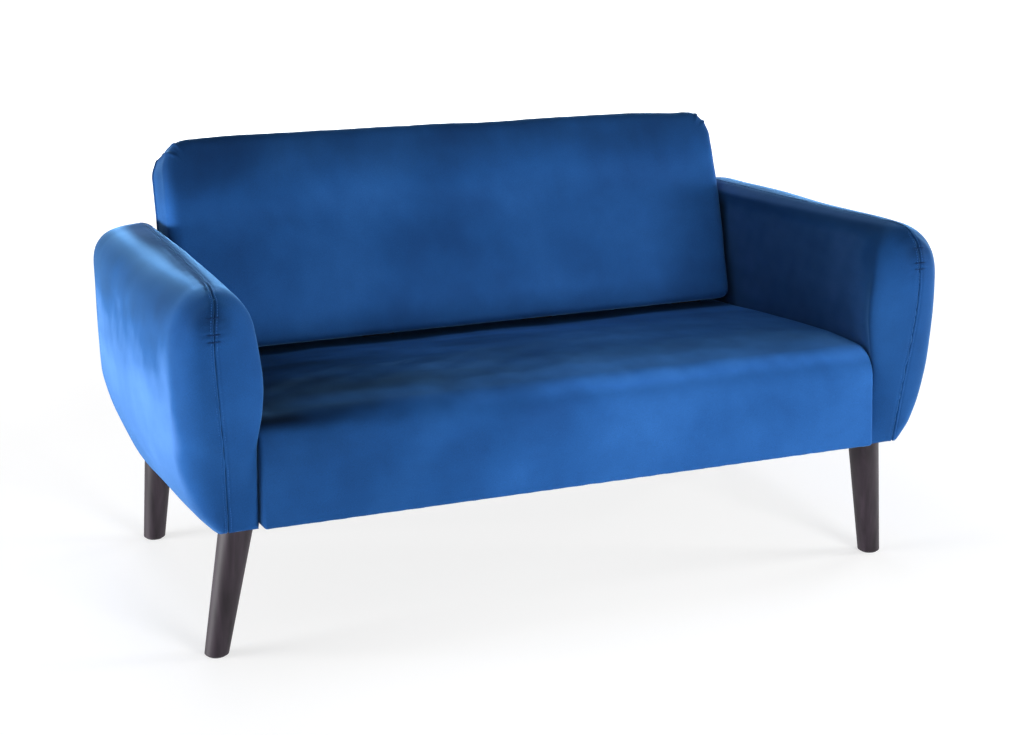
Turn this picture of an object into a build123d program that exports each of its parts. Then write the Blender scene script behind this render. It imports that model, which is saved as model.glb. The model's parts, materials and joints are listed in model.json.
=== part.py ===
from build123d import *
import math
import os

# Two-seat sofa with four splayed wooden legs. Millimetres, +Z up, the front of the sofa faces -Y.
# The origin is on the floor, below the middle of the sofa.
# The upholstered body leans back a little on its legs. Every piece is modelled in the body's own
# level frame, with the bottom of the body at Z = 0 and the front of the seat at Y = 0, and BODY
# then sets it on the floor.

os.makedirs("parts", exist_ok=True)

# ---------------------------------------------------------------- driving dimensions
RAKE = 4.0                    # how far the body leans back, degrees
BODY_FRONT_Y = -371.0         # front bottom edge of the seat, measured on the floor
BODY_FRONT_Z = 238.0          # height of that edge
COVER = 2.0                   # velvet with its backing
BOARD = 22.0                  # planed softwood rails
PLY = 15.0                    # plywood panels
SCREW_D = 4.0
SLACK = 0.5                   # clearance round a loose cloth
WALL_BOLT_D = 8.0

# seat block
SEAT_HALF = 548.0
SEAT_DEPTH = 690.0
SEAT_FRONT_H = 176.0
SEAT_CROWN_H = 179.0
SEAT_CROWN_Y = 150.0
SEAT_REAR_H = 161.0
SEAT_NOSE_R = 48.0
SEAT_REAR_R = 12.0
SEAT_SIDE_PAD = 10.0          # wadding over the side rails
SEAT_END_PAD = 14.0           # foam over the front and rear rails
RAIL_H = 80.0                 # top of the low rails, where the springs hang
RAIL_FOOT = 3.0               # rails start above the dust cover
DECK_Y = 525.0                # front of the rear deck, which carries the backrest
DECK_TOP = 148.0
SPRING_COUNT = 9
SPRING_WIRE = 3.4
SPRING_WAVES = 10
SPRING_SWING = 22.0
FELT = 4.0
DUST_COVER = 1.0

# backrest block
BACK_HALF = 543.0
BACK_FOOT = (496.0, 179.0)    # front bottom edge
BACK_RECLINE = 16.0
BACK_LENGTH = 380.0           # front face, bottom to top
BACK_THICK = 124.0
BACK_REAR_Y = 690.0           # the lower outside back is upright
BACK_CORNER_R = 58.0          # top corners, seen from the front
BACK_EDGE_R = 20.0
BACK_FRONT_PAD = 58.0
BACK_TOP_PAD = 24.0
BACK_REAR_PAD = 7.0
BACK_SIDE_PAD = 16.0
BACK_DECK = 4.0

# arms
ARM_INNER = 550.0             # inner face of an arm
ARM_SEAM = 606.0              # the seam between inner and outer cover
ARM_REAR_Y = 712.0
ARM_BARREL_Y = 315.0          # where the outer face bulges most
ARM_BARREL = 15.0             # how far the outer face falls away towards both ends
ARM_PANEL_X = 574.0           # inner side of the plywood panel
ARM_RAIL_W = 40.0
ARM_RAIL_H = 40.0
ARM_FRAME_INNER = 554.0
ARM_FRAME_FRONT = 56.0
ARM_FRAME_REAR = 700.0
ARM_FRAME_TOP = 340.0
# level sections: height, inner face, nose, widest reach, inner and outer corner radius of the nose
ARM_SECTIONS = [
    (0.0, 550.0, 21.0, 614.0, 10.0, 33.0),
    (18.0, 550.0, 16.0, 632.0, 16.0, 46.0),
    (50.0, 550.0, 10.0, 649.0, 20.0, 60.0),
    (110.0, 550.0, -3.0, 665.0, 24.0, 70.0),
    (190.0, 550.0, -19.0, 675.0, 30.0, 74.0),
    (260.0, 550.0, -30.0, 676.0, 32.0, 74.0),
    (310.0, 550.0, -31.0, 669.0, 30.0, 70.0),
    (345.0, 552.0, -28.0, 653.0, 24.0, 56.0),
    (367.0, 561.0, -17.0, 635.0, 14.0, 40.0),
    (380.0, 575.0, 0.0, 618.0, 6.0, 18.0),
    (384.0, 588.0, 14.0, 611.0, 2.0, 4.0),
]

# legs: where each foot stands, and how far it leans per millimetre of height
LEG_FOOT_D = 39.0
LEG_TOP_D = 55.0
LEG_TAPER_LENGTH = 236.0
GLIDE_D = 30.0
GLIDE_H = 3.0
FRONT_FOOT = (610.0, -276.0)
REAR_FOOT = (586.0, 283.0)
FRONT_LEAN = (0.160, 0.090)   # outwards and backwards, going down
REAR_LEAN = (0.075, 0.100)
BOLT_D = 8.0
BOLT_IN_LEG = 30.0
BOLT_ABOVE = 20.0
PLATE = 3.0
PLATE_SIDE = 34.0
BOSS_D = 16.0
BOSS_H = 12.0
POCKET_D = 24.0
POCKET_H = 28.0

BODY = Location((0, BODY_FRONT_Y, BODY_FRONT_Z), (-RAKE, 0, 0))
FLOOR = Plane(BODY.inverse() * Location((0, 0, 0)))


def write(part, label):
    """Set a finished piece on the sofa and write it as its own node."""
    piece = part.moved(BODY)
    piece.label = label
    export_step(piece, f"parts/{label}.step")


def write_pair(part, label):
    """Write a piece of the right side, and its mirror image for the left side."""
    write(part, f"{label}_right")
    write(mirror(part, about=Plane.YZ), f"{label}_left")


def board(x, y, z):
    """A planed board between the two limits given along each axis."""
    with BuildPart() as plank:
        with Locations(((x[0] + x[1]) / 2, (y[0] + y[1]) / 2, (z[0] + z[1]) / 2)):
            Box(x[1] - x[0], y[1] - y[0], z[1] - z[0])
    return plank.part


def side_block(outline, half_width, rounds=()):
    """A block with the given side view, from -half_width to +half_width, with some corners rounded."""
    with BuildPart() as block:
        with BuildSketch(Plane.YZ) as side:
            with BuildLine():
                Polyline(*outline, close=True)
            make_face()
            for corner, radius in rounds:
                near = Vector(corner[0], corner[1])
                fillet(side.vertices().sort_by(lambda v: (v.center() - near).length)[0], radius)
        extrude(amount=half_width, both=True)
    return block.part


# ---------------------------------------------------------------- seat
def seat_block(inset, drop=0.0):
    """The seat's upholstered outline, made smaller all round by inset and longer below by drop."""
    front_top = (inset, SEAT_FRONT_H - inset)
    rear_top = (SEAT_DEPTH - inset, SEAT_REAR_H - inset)
    outline = [
        (inset, -drop),
        front_top,
        (SEAT_CROWN_Y, SEAT_CROWN_H - inset),
        rear_top,
        (SEAT_DEPTH - inset, -drop),
    ]
    rounds = [(front_top, SEAT_NOSE_R - inset), (rear_top, SEAT_REAR_R - inset)]
    return side_block(outline, SEAT_HALF - inset, rounds)


frame_half = SEAT_HALF - COVER - SEAT_SIDE_PAD
frame_front = COVER + SEAT_END_PAD
frame_rear = SEAT_DEPTH - COVER - SEAT_END_PAD
spring_z = RAIL_H + SPRING_WIRE / 2
felt_top = RAIL_H + SPRING_WIRE + FELT

seat_cover = seat_block(0) - seat_block(COVER, drop=10)

# The foam is one moulding over the whole frame, with room for the springs and the rear deck.
with BuildPart() as seat_foam:
    add(seat_block(COVER))
    with BuildSketch(Plane.YZ) as frame_room:
        with BuildLine():
            Polyline(
                (frame_front, 0),
                (frame_front, felt_top),
                (DECK_Y, felt_top),
                (DECK_Y, DECK_TOP),
                (frame_rear, DECK_TOP),
                (frame_rear, 0),
                close=True,
            )
        make_face()
    extrude(amount=frame_half, both=True, mode=Mode.SUBTRACT)

rail_front = board((-frame_half, frame_half), (frame_front, frame_front + BOARD), (RAIL_FOOT, RAIL_H))
rail_rear = board((-frame_half, frame_half), (frame_rear - BOARD, frame_rear), (RAIL_FOOT, DECK_TOP - PLY))
rail_middle = board((-frame_half, frame_half), (DECK_Y, DECK_Y + BOARD), (RAIL_FOOT, DECK_TOP - PLY))
rear_deck = board((-frame_half, frame_half), (DECK_Y, frame_rear), (DECK_TOP - PLY, DECK_TOP))
write(rail_front, "seat_rail_front")
write(rail_rear, "seat_rail_rear")
write(rail_middle, "seat_rail_middle")
write(rear_deck, "rear_deck")

# Two side rails in two lengths each, either side of the middle rail, and a brace below the springs.
BRACE_TOP = 50.0
BOLT_YS = (110.0, 430.0, 610.0)     # the bolts that hold each arm to the seat
BOLT_Z = 23.0
with BuildPart() as side_rail:
    add(board((frame_half - BOARD, frame_half), (frame_front + BOARD, DECK_Y), (RAIL_FOOT, RAIL_H)))
    with Locations(*[Location((frame_half, y, BOLT_Z), (0, 90, 0)) for y in BOLT_YS[:2]]):
        Cylinder(WALL_BOLT_D / 2, 3 * BOARD, mode=Mode.SUBTRACT)
write_pair(side_rail.part, "seat_rail")
with BuildPart() as rear_side_rail:
    add(board((frame_half - BOARD, frame_half), (DECK_Y + BOARD, frame_rear - BOARD),
              (RAIL_FOOT, DECK_TOP - PLY)))
    with Locations(Location((frame_half, BOLT_YS[2], BOLT_Z), (0, 90, 0))):
        Cylinder(WALL_BOLT_D / 2, 3 * BOARD, mode=Mode.SUBTRACT)
write_pair(rear_side_rail.part, "seat_rear_side_rail")
write(board((-BOARD, BOARD), (frame_front + BOARD, DECK_Y), (RAIL_FOOT, BRACE_TOP)), "seat_brace")

BLOCK = 60.0
with BuildPart() as corner_blocks:
    for side in (-1, 1):
        with BuildSketch(Plane.XY.offset(RAIL_FOOT)):
            with BuildLine():
                corner_x = side * (frame_half - BOARD)
                corner_y = frame_front + BOARD
                Polyline((corner_x, corner_y), (corner_x - side * BLOCK, corner_y),
                         (corner_x, corner_y + BLOCK), close=True)
            make_face()
            with BuildLine():
                rear_y = DECK_Y
                Polyline((corner_x, rear_y), (corner_x - side * BLOCK, rear_y),
                         (corner_x, rear_y - BLOCK), close=True)
            make_face()
        extrude(amount=RAIL_H - 2 * RAIL_FOOT)
write(corner_blocks.part, "corner_blocks")


# Zigzag springs run from the front rail to the middle rail, held by clips on both.
def zigzag(front, rear):
    """Centre line of one spring, across the seat and back while it runs from front to rear."""
    step = (rear - front) / SPRING_WAVES
    points = [(0, front)]
    for wave in range(SPRING_WAVES):
        swing = SPRING_SWING if wave % 2 else -SPRING_SWING
        points.append((swing, front + step * (wave + 0.15)))
        points.append((swing, front + step * (wave + 0.85)))
    points.append((0, rear))
    return points, step * 0.3


spring_front = frame_front + BOARD / 2
spring_rear = DECK_Y - 2
wave_points, bend = zigzag(spring_front, spring_rear)
spring_xs = [(i - (SPRING_COUNT - 1) / 2) * 2 * (frame_half - BLOCK) / SPRING_COUNT for i in range(SPRING_COUNT)]
with BuildPart() as one_spring:
    with BuildLine(Plane.XY.offset(spring_z)) as wave_line:
        FilletPolyline(*wave_points, radius=bend)
    with BuildSketch(Plane(wave_line.line @ 0, z_dir=wave_line.line % 0)):
        Circle(SPRING_WIRE / 2)
    sweep(path=wave_line.line)
springs = Compound([one_spring.part.moved(Location((x, 0, 0))) for x in spring_xs])
write(springs, "seat_springs")

CLIP = 14.0
clip_rooms = [board((x - CLIP, x + CLIP), (frame_front, frame_front + BOARD), (RAIL_H, RAIL_H + SPRING_WIRE))
              for x in spring_xs]
spring_clips = Compound([room - one_spring.part.moved(Location((x, 0, 0)))
                         for room, x in zip(clip_rooms, spring_xs)])
write(spring_clips, "spring_clips")

write(board((-frame_half, frame_half), (frame_front, DECK_Y), (RAIL_H + SPRING_WIRE, felt_top)), "spring_felt")
write(board((-frame_half, frame_half), (frame_front, frame_rear), (1.0, 1.0 + DUST_COVER)), "dust_cover")


# ---------------------------------------------------------------- backrest
lean = math.radians(BACK_RECLINE)
up = Vector(math.sin(lean), math.cos(lean))        # along the front face, upwards
through = Vector(math.cos(lean), -math.sin(lean))  # through the backrest, rearwards


def back_outline(front, top, rear, bottom):
    """Side view of the backrest, cut back by the given amounts: reclined above, upright behind."""
    foot = Vector(*BACK_FOOT) + through * front
    head = Vector(*BACK_FOOT) + up * (BACK_LENGTH - top)
    front_top = head + through * front
    rear_top = head + through * (BACK_THICK - rear)
    rear_y = BACK_REAR_Y - rear
    knee = rear_top - up * ((rear_top.X - rear_y) / up.X)
    base = BACK_FOOT[1] + bottom
    front_low = foot + up * ((base - foot.Y) / up.Y)
    points = [front_low, front_top, rear_top, knee, Vector(rear_y, base)]
    return [(p.X, p.Y) for p in points]


def back_block(inset, drop=0.0):
    """The backrest's upholstered outline, with round top corners and soft edges."""
    outline = back_outline(inset, inset, inset, inset - drop)
    with BuildPart() as block:
        add(side_block(outline, BACK_HALF - inset))
        across = block.edges().filter_by(lambda e: abs(e.tangent_at(0.5).X) < 0.01)
        top_ends = across.sort_by(Axis.Z)[-2:]
        fillet(top_ends, BACK_CORNER_R - inset)
        front_face = block.faces().sort_by(lambda f: f.normal_at().dot(Vector(0, -1, 0)))[-1]
        head = front_face.edges().filter_by(lambda e: e.center().Z > BACK_FOOT[1] + BACK_CORNER_R)
        fillet(head, BACK_EDGE_R - inset)
    return block.part


back_skin = back_block(0) - back_block(COVER, drop=12)
BACK_SEAM_Y = BACK_REAR_Y - 14      # the outside back is sewn on here, just round the corner
upright_seam = Plane(origin=(0, BACK_SEAM_Y, 0), z_dir=(0, 1, 0))
write(split(back_skin, bisect_by=upright_seam, keep=Keep.BOTTOM), "back_front_cover")
write(split(back_skin, bisect_by=upright_seam, keep=Keep.TOP), "back_rear_cover")

frame_outline = back_outline(BACK_FRONT_PAD, BACK_TOP_PAD, BACK_REAR_PAD, 0)
back_frame_half = BACK_HALF - BACK_SIDE_PAD
back_frame_room = side_block(frame_outline, back_frame_half)
foam_room = side_block(back_outline(BACK_FRONT_PAD, BACK_TOP_PAD, BACK_REAR_PAD, -12), back_frame_half)
back_foam = back_block(COVER, drop=-COVER) - foam_room
write(back_foam, "back_foam")

# The fibreboard deck fills the front of the frame, and plywood gables and rails stand behind it.
gable_outline = back_outline(BACK_FRONT_PAD + BACK_DECK, BACK_TOP_PAD, BACK_REAR_PAD, 0)
back_core = side_block(gable_outline, back_frame_half)
write(back_frame_room - side_block(back_outline(BACK_FRONT_PAD + BACK_DECK, BACK_TOP_PAD - 20, -40, -40),
                                   BACK_HALF), "back_deck")


def back_slice(left, right):
    """The part of the backrest's core between two planes across the sofa."""
    return back_core & board((left, right), (0, 2 * BACK_REAR_Y), (0, 2 * BACK_REAR_Y))


gable = back_slice(back_frame_half - PLY, back_frame_half)
write_pair(gable, "back_gable")
write(back_slice(-PLY / 2, PLY / 2), "back_gable_middle")

BACK_RAIL = 45.0
low_z = BACK_FOOT[1]
top_z = max(z for _, z in gable_outline)
rail_levels = {
    "back_rail_bottom": (low_z, low_z + BACK_RAIL),
    "back_rail_middle": (low_z + 4 * BACK_RAIL, low_z + 5 * BACK_RAIL),
    "back_rail_top": (top_z - BACK_RAIL, top_z),
}
front_strip = side_block(back_outline(BACK_FRONT_PAD + BACK_DECK + BOARD, BACK_TOP_PAD - 20, -40, -40), BACK_HALF)
for name, (low, high) in rail_levels.items():
    rail = back_core & board((-BACK_HALF, BACK_HALF), (0, 2 * BACK_REAR_Y), (low, high))
    if name != "back_rail_top":
        rail = rail - front_strip
    for left, right in [(-back_frame_half, PLY - back_frame_half), (-PLY / 2, PLY / 2),
                        (back_frame_half - PLY, back_frame_half)]:
        rail = rail - board((left, right), (0, 2 * BACK_REAR_Y), (0, 2 * BACK_REAR_Y))
    write(rail, name)

# Spacer strips hold the gap under the backrest; bolts go down through them into the rear deck.
FOOT_XS = (-480.0, -160.0, 160.0, 480.0)
FOOT_SIZE = 60.0
foot_y = (DECK_Y + frame_rear) / 2 + 10


def seat_top(y):
    """Height of the seat's cover over the rear deck."""
    slope = (SEAT_CROWN_H - SEAT_REAR_H) / (SEAT_DEPTH - SEAT_CROWN_Y)
    return SEAT_CROWN_H - slope * (y - SEAT_CROWN_Y)


with BuildPart() as back_feet:
    for x in FOOT_XS:
        with BuildSketch(Plane.YZ.offset(x)):
            with BuildLine():
                near, far = foot_y - FOOT_SIZE / 2, foot_y + FOOT_SIZE / 2
                Polyline((near, seat_top(near)), (far, seat_top(far)), (far, low_z), (near, low_z),
                         close=True)
            make_face()
        extrude(amount=FOOT_SIZE / 2, both=True)
write(back_feet.part, "back_feet")


# ---------------------------------------------------------------- arms
def arm_section(row, inset, height):
    """Level section of a right arm: straight inner face, round nose and bulging outer face."""
    _, inner, nose, reach, inner_r, outer_r = row
    inner += inset
    nose += inset
    reach -= inset
    rear = ARM_REAR_Y - inset
    outer_r = max(outer_r - inset, 1.0)
    inner_r = max(inner_r - inset, 1.0)
    diagonal = 1 - math.sqrt(0.5)
    ridge = reach - ARM_BARREL
    with BuildSketch(Plane.XY.offset(height)) as section:
        with BuildLine():
            Line((inner, rear), (inner, nose + inner_r))
            ThreePointArc(
                (inner, nose + inner_r),
                (inner + inner_r * diagonal, nose + inner_r * diagonal),
                (inner + inner_r, nose),
            )
            Line((inner + inner_r, nose), (ridge - outer_r, nose))
            ThreePointArc(
                (ridge - outer_r, nose),
                (ridge - outer_r * diagonal, nose + outer_r * diagonal),
                (ridge, nose + outer_r),
            )
            ThreePointArc((ridge, nose + outer_r), (reach, ARM_BARREL_Y), (ridge, rear))
            Line((ridge, rear), (inner, rear))
        make_face()
    return section.sketch


def arm_block(inset, drop=0.0):
    """The arm's upholstered outline, made smaller all round by inset and longer below by drop."""
    with BuildPart() as block:
        first = ARM_SECTIONS[0]
        top = ARM_SECTIONS[-1][0]
        for row in ARM_SECTIONS:
            height = row[0] - inset * row[0] / top
            add(arm_section(row, inset, height))
        loft(ruled=True)
    shape = block.part
    if drop:
        with BuildPart() as foot:
            add(arm_section(first, inset, 0))
            extrude(amount=-drop)
        shape = shape + foot.part
    return shape


BOTTOM_CLOTH = (1.0, 2.0)           # lower and upper side of the cloth under each arm

# Bolts run from each arm's base rail through the side of the seat, with a nut inside the seat.
BOLT_IN = frame_half - BOARD - 14
BOLT_OUT = ARM_FRAME_INNER + ARM_RAIL_W
HEAD_D = 18.0
HEAD_H = 5.0
NUT_D = 15.0
NUT_H = 6.5
with BuildPart() as arm_bolts:
    for y in BOLT_YS:
        with Locations(Location((BOLT_IN, y, BOLT_Z), (0, 90, 0))):
            Cylinder(WALL_BOLT_D / 2, BOLT_OUT - BOLT_IN, align=(Align.CENTER, Align.CENTER, Align.MIN))
        with Locations(Location((BOLT_OUT, y, BOLT_Z), (0, 90, 0))):
            Cylinder(HEAD_D / 2, HEAD_H, align=(Align.CENTER, Align.CENTER, Align.MIN))
with BuildPart() as arm_nuts:
    for y in BOLT_YS:
        with BuildSketch(Plane.YZ.offset(frame_half - BOARD - NUT_H)):
            with Locations((y, BOLT_Z)):
                RegularPolygon(NUT_D / 2, 6)
                Circle(WALL_BOLT_D / 2, mode=Mode.SUBTRACT)
        extrude(amount=NUT_H)
right_bolts = arm_bolts.part
both_bolts = right_bolts + mirror(right_bolts, about=Plane.YZ)
write(both_bolts, "arm_bolts")
write(arm_nuts.part + mirror(arm_nuts.part, about=Plane.YZ), "arm_nuts")
write(seat_cover - both_bolts, "seat_cover")
write(seat_foam.part - both_bolts, "seat_foam")

arm_skin = arm_block(0) - arm_block(COVER, drop=10) - right_bolts
arm_seam = Plane(origin=(ARM_SEAM, 0, 0), z_dir=(1, 0, 0))
write_pair(split(arm_skin, bisect_by=arm_seam, keep=Keep.TOP), "arm_outer_cover")
write_pair(split(arm_skin, bisect_by=arm_seam, keep=Keep.BOTTOM), "arm_inner_cover")

rail_x = (ARM_FRAME_INNER, ARM_FRAME_INNER + ARM_RAIL_W)
post_x = (ARM_FRAME_INNER, ARM_PANEL_X)
rail_y = (ARM_FRAME_FRONT, ARM_FRAME_REAR)
arm_base_rail = board(rail_x, rail_y, (RAIL_FOOT, RAIL_FOOT + ARM_RAIL_H))
arm_panel = board((ARM_PANEL_X, ARM_PANEL_X + PLY), rail_y, (RAIL_FOOT + ARM_RAIL_H, ARM_FRAME_TOP))
post_z = (RAIL_FOOT + ARM_RAIL_H, ARM_FRAME_TOP)
arm_front_post = board(post_x, (rail_y[0], rail_y[0] + ARM_RAIL_H), post_z)
arm_rear_post = board(post_x, (rail_y[1] - ARM_RAIL_H, rail_y[1]), post_z)
arm_top_rail = board(post_x, (rail_y[0] + ARM_RAIL_H, rail_y[1] - ARM_RAIL_H),
                     (ARM_FRAME_TOP - ARM_RAIL_H, ARM_FRAME_TOP))
write_pair(arm_panel, "arm_panel")
write_pair(arm_front_post, "arm_front_post")
write_pair(arm_rear_post, "arm_rear_post")
write_pair(arm_top_rail, "arm_top_rail")

under_rail = board(rail_x, rail_y, (-BOARD, RAIL_FOOT + 1))
under_foam = board((0, 2 * ARM_SEAM), (-SEAT_DEPTH, 2 * SEAT_DEPTH), (-BOARD, BOTTOM_CLOTH[1]))
arm_foam = arm_block(COVER)
for inside in (under_foam, under_rail, arm_base_rail, arm_panel, arm_front_post, arm_rear_post,
               arm_top_rail, right_bolts):
    arm_foam = arm_foam - inside
write_pair(arm_foam, "arm_foam")


# ---------------------------------------------------------------- legs
def in_body(x, y, z):
    """A place on the floor's axes, in the body's own frame."""
    return (BODY.inverse() * Location((x, y, z))).position


def leg_line(foot, lean):
    """Plane whose Z axis runs up a right leg from the floor, and the leg's length to the body."""
    start = in_body(foot[0], foot[1], 0)
    above = in_body(foot[0] - lean[0], foot[1] - lean[1], 1)
    direction = (above - start).normalized()
    return Plane(origin=start, z_dir=direction), -start.Z / direction.Z


def along(line, start, length, radius, end_radius=None):
    """A round bar, or a tapered one, on a leg's line."""
    with BuildPart() as bar:
        with Locations(line.offset(start).location):
            if end_radius is None:
                Cylinder(radius, length, align=(Align.CENTER, Align.CENTER, Align.MIN))
            else:
                Cone(radius, end_radius, length, align=(Align.CENTER, Align.CENTER, Align.MIN))
    return bar.part


SPARE = 20.0                        # the turned leg is longer than needed, then cut at both ends
FOOT_ROUND = 1.5
taper = (LEG_TOP_D - LEG_FOOT_D) / 2 / LEG_TAPER_LENGTH
floor = Plane(origin=in_body(0, 0, 0), z_dir=in_body(0, 0, 1) - in_body(0, 0, 0))
leg_bolts = []
leg_plates = []
plate_screws = []
base_rail = arm_base_rail - right_bolts
bottom_cloth = extrude(arm_section(ARM_SECTIONS[0], COVER + SLACK, BOTTOM_CLOTH[0]), BOTTOM_CLOTH[1] - BOTTOM_CLOTH[0])
for end, foot, lean_in in (("front", FRONT_FOOT, FRONT_LEAN), ("rear", REAR_FOOT, REAR_LEAN)):
    line, length = leg_line(foot, lean_in)
    turned = along(line, -SPARE, length + 2 * SPARE, LEG_FOOT_D / 2 - taper * SPARE,
                   LEG_FOOT_D / 2 + taper * (length + SPARE))
    turned = split(turned, bisect_by=floor.offset(GLIDE_H), keep=Keep.TOP)
    turned = split(turned, bisect_by=Plane.XY, keep=Keep.BOTTOM)
    foot_edge = turned.edges().sort_by(lambda e: (e.center() - line.origin).length)[0]
    turned = turned.fillet(FOOT_ROUND, [foot_edge])
    bolt = along(line, length - BOLT_IN_LEG, BOLT_IN_LEG + BOLT_ABOVE, BOLT_D / 2)
    write_pair(turned - bolt, f"leg_{end}")

    with BuildPart() as glide:
        stand = in_body(foot[0] - lean_in[0] * GLIDE_H, foot[1] - lean_in[1] * GLIDE_H, 0)
        with BuildSketch(Plane(origin=stand, z_dir=floor.z_dir)):
            Circle(GLIDE_D / 2)
        extrude(amount=GLIDE_H)
    write_pair(glide.part, f"glide_{end}")

    top = line.origin + line.z_dir * length
    with BuildPart() as screws:
        with Locations(top):
            with GridLocations(PLATE_SIDE - 10, PLATE_SIDE - 10, 2, 2):
                Cylinder(SCREW_D / 2, BOARD, align=(Align.CENTER, Align.CENTER, Align.MIN))
                Cone(SCREW_D * 0.85, SCREW_D / 2, PLATE * 0.6, align=(Align.CENTER, Align.CENTER, Align.MIN))
    with BuildPart() as flat:
        with Locations(top):
            Box(PLATE_SIDE, PLATE_SIDE, PLATE, align=(Align.CENTER, Align.CENTER, Align.MIN))
    boss = split(along(line, length, BOSS_H, BOSS_D / 2), bisect_by=Plane.XY.offset(PLATE / 2), keep=Keep.TOP)
    plate = flat.part + boss - bolt - screws.part
    with BuildPart() as pocket:
        with Locations(top):
            Cylinder(POCKET_D / 2, POCKET_H, align=(Align.CENTER, Align.CENTER, Align.MIN))
    base_rail = base_rail - pocket.part - screws.part
    bottom_cloth = bottom_cloth - flat.part
    leg_bolts.append(bolt)
    leg_plates.append(plate)
    plate_screws.append(screws.part)

write_pair(base_rail, "arm_base_rail")
write_pair(bottom_cloth, "arm_bottom_cloth")
for name, pieces in (("leg_bolts", leg_bolts), ("leg_plates", leg_plates), ("plate_screws", plate_screws)):
    solids = [solid for piece in pieces for solid in piece.solids()]
    write(Compound(solids + [mirror(solid, about=Plane.YZ) for solid in solids]), name)
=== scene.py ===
"""Two-seat velvet sofa with four turned wooden legs: the looks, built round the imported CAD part."""

import json
import math

import bpy
import numpy as np
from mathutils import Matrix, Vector
from mathutils.kdtree import KDTree


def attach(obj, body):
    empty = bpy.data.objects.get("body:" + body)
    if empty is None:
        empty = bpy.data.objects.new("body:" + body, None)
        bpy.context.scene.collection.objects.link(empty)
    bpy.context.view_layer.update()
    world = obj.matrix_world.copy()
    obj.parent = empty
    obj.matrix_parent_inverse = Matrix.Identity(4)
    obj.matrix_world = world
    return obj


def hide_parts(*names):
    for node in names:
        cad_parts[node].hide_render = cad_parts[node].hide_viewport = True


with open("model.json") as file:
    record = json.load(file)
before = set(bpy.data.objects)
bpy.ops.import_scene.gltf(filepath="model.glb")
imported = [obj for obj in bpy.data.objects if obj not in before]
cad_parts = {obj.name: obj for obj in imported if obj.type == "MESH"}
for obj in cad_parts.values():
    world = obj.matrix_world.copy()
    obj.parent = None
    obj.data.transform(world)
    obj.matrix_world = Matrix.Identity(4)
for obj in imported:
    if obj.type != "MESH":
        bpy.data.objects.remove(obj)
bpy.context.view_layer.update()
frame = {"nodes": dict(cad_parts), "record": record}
scene = bpy.context.scene

# ---------------------------------------------------------------- the body's own frame
# Soft pieces are shaped in millimetres in the body's level frame: x across the sofa, v backwards
# from the front of the seat, w upwards from the bottom of the body. place() sets them on the floor.
RAKE = math.radians(4.0)
BODY_FRONT_Y, BODY_FRONT_Z = -371.0, 238.0


def place(p):
    """Body frame in mm to the row frame in metres."""
    p = np.asarray(p, float)
    x, v, w = p[..., 0], p[..., 1], p[..., 2]
    y = BODY_FRONT_Y + v * math.cos(RAKE) + w * math.sin(RAKE)
    z = BODY_FRONT_Z - v * math.sin(RAKE) + w * math.cos(RAKE)
    return np.stack([x, y, z], -1) * 0.001


def normalised(a):
    return a / np.maximum(np.linalg.norm(a, axis=-1, keepdims=True), 1e-9)


def unit(a):
    """Held between 0 and 1."""
    return np.clip(a, 0, 1)


def bell(a, width):
    """1 where a is 0, and gone a few widths away."""
    return np.exp(-(a / width) ** 2)


def ease(a, low, high):
    """Rises smoothly from 0 at low to 1 at high."""
    t = unit((a - low) / (high - low))
    return t * t * (3 - 2 * t)


def cubic(t, start, end, start_slope, end_slope):
    """Smooth line from start to end, at shares t of the way."""
    return (start * (2 * t ** 3 - 3 * t ** 2 + 1) + end * (3 * t ** 2 - 2 * t ** 3)
            + start_slope * (t ** 3 - 2 * t ** 2 + t) + end_slope * (t ** 3 - t ** 2))


def run_of(line):
    """The length along a line up to each of its points."""
    return np.concatenate([[0], np.cumsum(np.hypot.reduce(np.diff(line, axis=0), axis=1))])


def along(at, places, line):
    """A line of points, given at some places, read at others."""
    return np.stack([np.interp(at, places, column) for column in line.T], -1)


def point_tree(points):
    """A tree that finds the nearest of the points."""
    tree = KDTree(len(points))
    for number, at in enumerate(points):
        tree.insert(at, number)
    tree.balance()
    return tree


def soft_noise(p, scale, seed, octaves=3):
    """Smooth seeded noise, about -1 to 1, at points p in mm. scale is the wavelength in mm."""
    rng = np.random.default_rng(seed)
    total, weight = np.zeros(p.shape[:-1]), 0.0
    for octave in range(octaves):
        for _ in range(5):
            axis = normalised(rng.normal(size=3))
            phase = rng.uniform(0, 2 * math.pi)
            wave = 2 ** octave * rng.uniform(0.75, 1.3) / scale
            total = total + np.sin(2 * math.pi * wave * (p @ axis) + phase) * 0.5 ** octave
        weight += 2.2 * 0.5 ** octave
    return total / weight


# ---------------------------------------------------------------- meshes
def make_mesh(name, points, faces, material=None, smooth=True):
    mesh = bpy.data.meshes.new(name)
    mesh.from_pydata(np.asarray(points).tolist(), [], np.asarray(faces).tolist())
    mesh.validate()
    mesh.update()
    obj = bpy.data.objects.new(name, mesh)
    scene.collection.objects.link(obj)
    if smooth:
        mesh.polygons.foreach_set("use_smooth", [True] * len(mesh.polygons))
    if material:
        mesh.materials.append(material)
    return obj


def quads_of(index, flip=False):
    """Quads over a grid of point numbers."""
    quads = np.stack([index[:-1, :-1], index[1:, :-1], index[1:, 1:], index[:-1, 1:]], -1).reshape(-1, 4)
    return quads[:, ::-1] if flip else quads


def grid_faces(rows, columns, flip=False):
    return quads_of(np.arange(rows * columns).reshape(rows, columns), flip)


def grid_normals(p):
    return normalised(np.cross(np.gradient(p, axis=0), np.gradient(p, axis=1)))


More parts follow.
